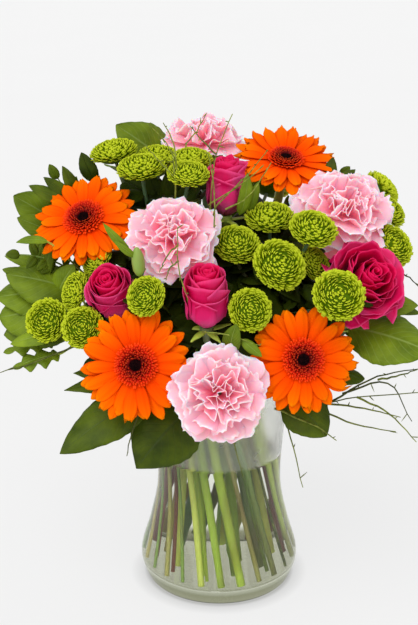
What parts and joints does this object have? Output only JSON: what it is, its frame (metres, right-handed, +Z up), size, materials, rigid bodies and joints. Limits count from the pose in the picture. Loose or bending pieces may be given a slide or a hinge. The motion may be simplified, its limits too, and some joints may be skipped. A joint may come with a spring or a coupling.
{
  "type": "mixed gerbera bouquet in a glass vase",
  "caption": "Rounded bouquet of gerberas, carnations, roses, pompon chrysanthemums and leaves, standing in a waisted clear glass vase of water.",
  "frame": {"origin": "on the table under the middle of the vase's foot", "axes": "+Z up, -Y towards the front of the bouquet, +X to its right as seen from the front"},
  "size_m": [0.3542, 0.3008, 0.4184],
  "materials": {
    "glass": "clear, faintly grey-green",
    "water": "clear water",
    "gerbera_rays": "satin petals, orange, redder at the base",
    "gerbera_eye": "matt, nearly black maroon",
    "carnation_petals": "soft matt petals, pale pink",
    "rose_petals": "velvety petals, magenta",
    "pompon": "matt florets, lime green",
    "stem": "smooth green stems",
    "leaf": "glossy green leaves with paler veins",
    "sprig": "satin green leaflets",
    "twig": "matt green-brown twigs"
  },
  "bodies": {
    "root": {"gerbera_front_left_rays": "gerbera_rays", "gerbera_front_left_eye": "gerbera_eye", "gerbera_front_left_stem": "stem", "gerbera_front_right_rays": "gerbera_rays", "gerbera_front_right_eye": "gerbera_eye", "gerbera_front_right_stem": "stem", "gerbera_left_rays": "gerbera_rays", "gerbera_left_eye": "gerbera_eye", "gerbera_left_stem": "stem", "gerbera_top_rays": "gerbera_rays", "gerbera_top_eye": "gerbera_eye", "gerbera_top_stem": "stem", "carnation_front_petals": "carnation_petals", "carnation_front_stem": "stem", "carnation_centre_petals": "carnation_petals", "carnation_centre_stem": "stem", "carnation_right_petals": "carnation_petals", "carnation_right_stem": "stem", "carnation_top_petals": "carnation_petals", "carnation_top_stem": "stem", "carnation_back_petals": "carnation_petals", "carnation_back_stem": "stem", "rose_centre_petals": "rose_petals", "rose_centre_stem": "stem", "rose_left_petals": "rose_petals", "rose_left_stem": "stem", "rose_right_petals": "rose_petals", "rose_right_stem": "stem", "rose_top_petals": "rose_petals", "rose_top_stem": "stem", "rose_back_petals": "rose_petals", "rose_back_stem": "stem", "pompons_top_left": "pompon", "pompons_centre": "pompon", "pompons_right": "pompon", "pompons_low_right": "pompon", "pompons_left": "pompon", "pompons_back": "pompon", "leaves_front_left": "leaf", "leaves_front_right": "leaf", "leaves_right": "leaf", "leaves_back_right": "leaf", "leaves_back": "leaf", "leaves_back_left": "leaf", "leaves_left": "leaf", "leaves_top": "leaf", "sprig_left": "sprig", "sprig_far_left": "sprig", "sprig_right": "sprig", "twigs_right": "twig", "twigs_top": "twig", "vase": "glass", "water": "water"}
  },
  "joints": []
}
